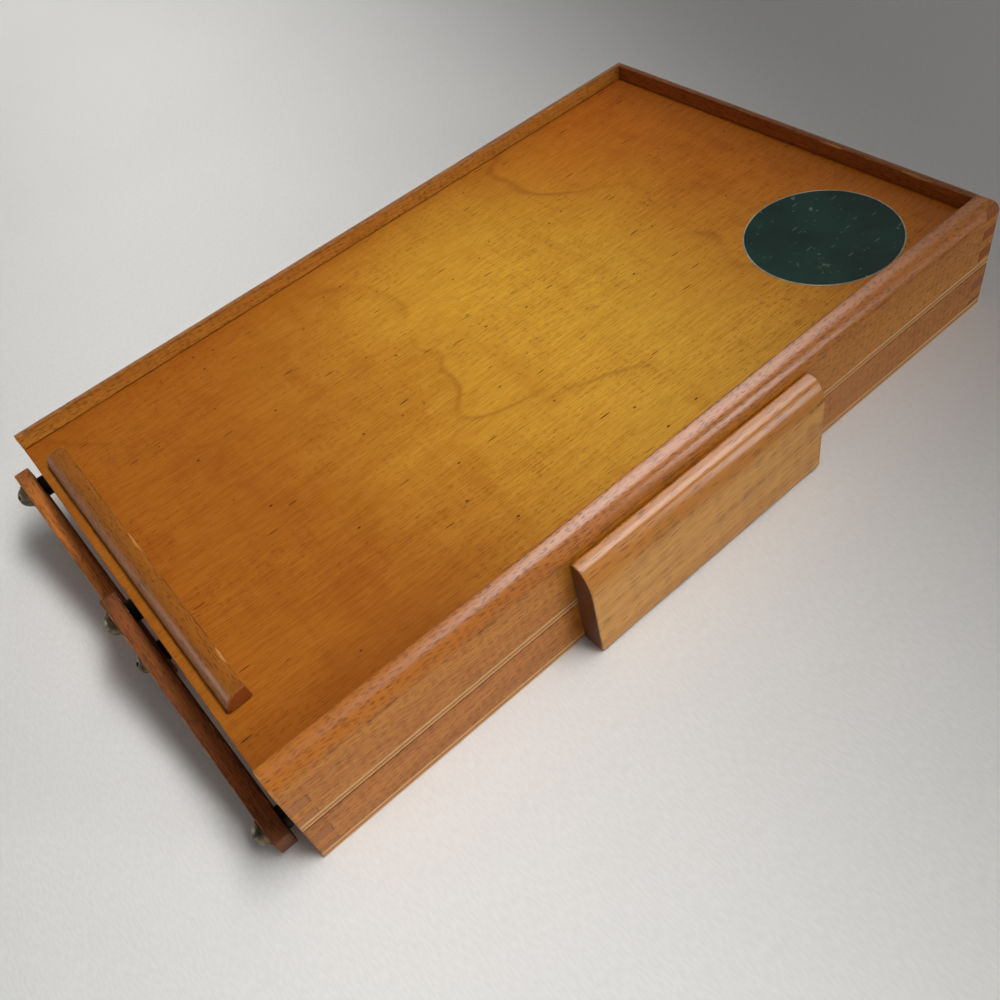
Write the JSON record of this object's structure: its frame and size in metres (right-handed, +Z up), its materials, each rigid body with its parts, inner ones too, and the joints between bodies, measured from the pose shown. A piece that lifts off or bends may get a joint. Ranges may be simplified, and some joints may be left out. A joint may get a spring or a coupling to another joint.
{
  "type": "accordion pencil box",
  "caption": "Flat wooden box of stacked trays: the upper tray swings forward on parallel link bars, and its lid slides out in grooves, for pencils and small tools.",
  "frame": {"origin": "centre of the lower tray's underside, on the surface the box stands on", "axes": "+X to the right end, +Y to the rear, +Z up; the lid slides out towards -X and the upper tray swings out towards -Y"},
  "size_m": [0.3564, 0.213, 0.0513],
  "materials": {
    "wall_wood": "varnished beech, worn satin",
    "handle_wood": "varnished beech, worn satin",
    "bottom_plywood": "plywood, thinly varnished",
    "lid_plywood": "golden varnished plywood, satin",
    "pull_wood": "varnished beech, satin",
    "link_wood": "stained beech, satin",
    "label_paper": "scuffed coated paper",
    "screw_metal": "tarnished nickel plate",
    "washer_metal": "tarnished nickel plate",
    "spacer_steel": "blackened steel",
    "pin_steel": "dull steel"
  },
  "bodies": {
    "lower_tray": {"lower_bottom_panel": "bottom_plywood", "lower_front_wall": "wall_wood", "lower_rear_wall": "wall_wood", "lower_left_end": "wall_wood", "lower_right_end": "wall_wood", "lower_panel_pins": "pin_steel", "lower_left_spacers": "spacer_steel", "lower_left_washers": "washer_metal", "lower_left_screws": "screw_metal", "lower_right_spacers": "spacer_steel", "lower_right_washers": "washer_metal", "lower_right_screws": "screw_metal"},
    "rear_links": {"left_rear_link": "link_wood", "right_rear_link": "link_wood"},
    "front_links": {"left_front_link": "link_wood", "right_front_link": "link_wood"},
    "upper_tray": {"upper_bottom_panel": "bottom_plywood", "upper_front_wall": "wall_wood", "upper_rear_wall": "wall_wood", "upper_left_end": "wall_wood", "upper_right_end": "wall_wood", "upper_panel_pins": "pin_steel", "front_handle": "handle_wood", "handle_screws": "screw_metal", "upper_left_spacers": "spacer_steel", "upper_left_washers": "washer_metal", "upper_left_screws": "screw_metal", "upper_right_spacers": "spacer_steel", "upper_right_washers": "washer_metal", "upper_right_screws": "screw_metal"},
    "lid": {"lid_panel": "lid_plywood", "lid_finger_pull": "pull_wood", "lid_label": "label_paper"}
  },
  "joints": [
    {"name": "tray_swing", "type": "hinge", "parent": "lower_tray", "child": "rear_links", "pos_m": [0, -0.0025, 0.01049], "axis": [1, 0, 0], "range_deg": [0, 154.9]},
    {"name": "front_link_swing", "type": "hinge", "parent": "lower_tray", "child": "front_links", "pos_m": [0, -0.0875, 0.01049], "axis": [1, 0, 0], "range_deg": [0, 154.9]},
    {"name": "tray_level", "type": "hinge", "parent": "rear_links", "child": "upper_tray", "pos_m": [0, 0.0875, 0.03051], "axis": [1, 0, 0], "range_deg": [-154.9, 0]},
    {"name": "lid_slide", "type": "slide", "parent": "upper_tray", "child": "lid", "axis": [-1, 0, 0], "range_m": [0, 0.32]}
  ],
  "couplings": [
    {"joint": "front_link_swing", "follows": "tray_swing", "ratio": 1},
    {"joint": "tray_level", "follows": "tray_swing", "ratio": -1}
  ]
}
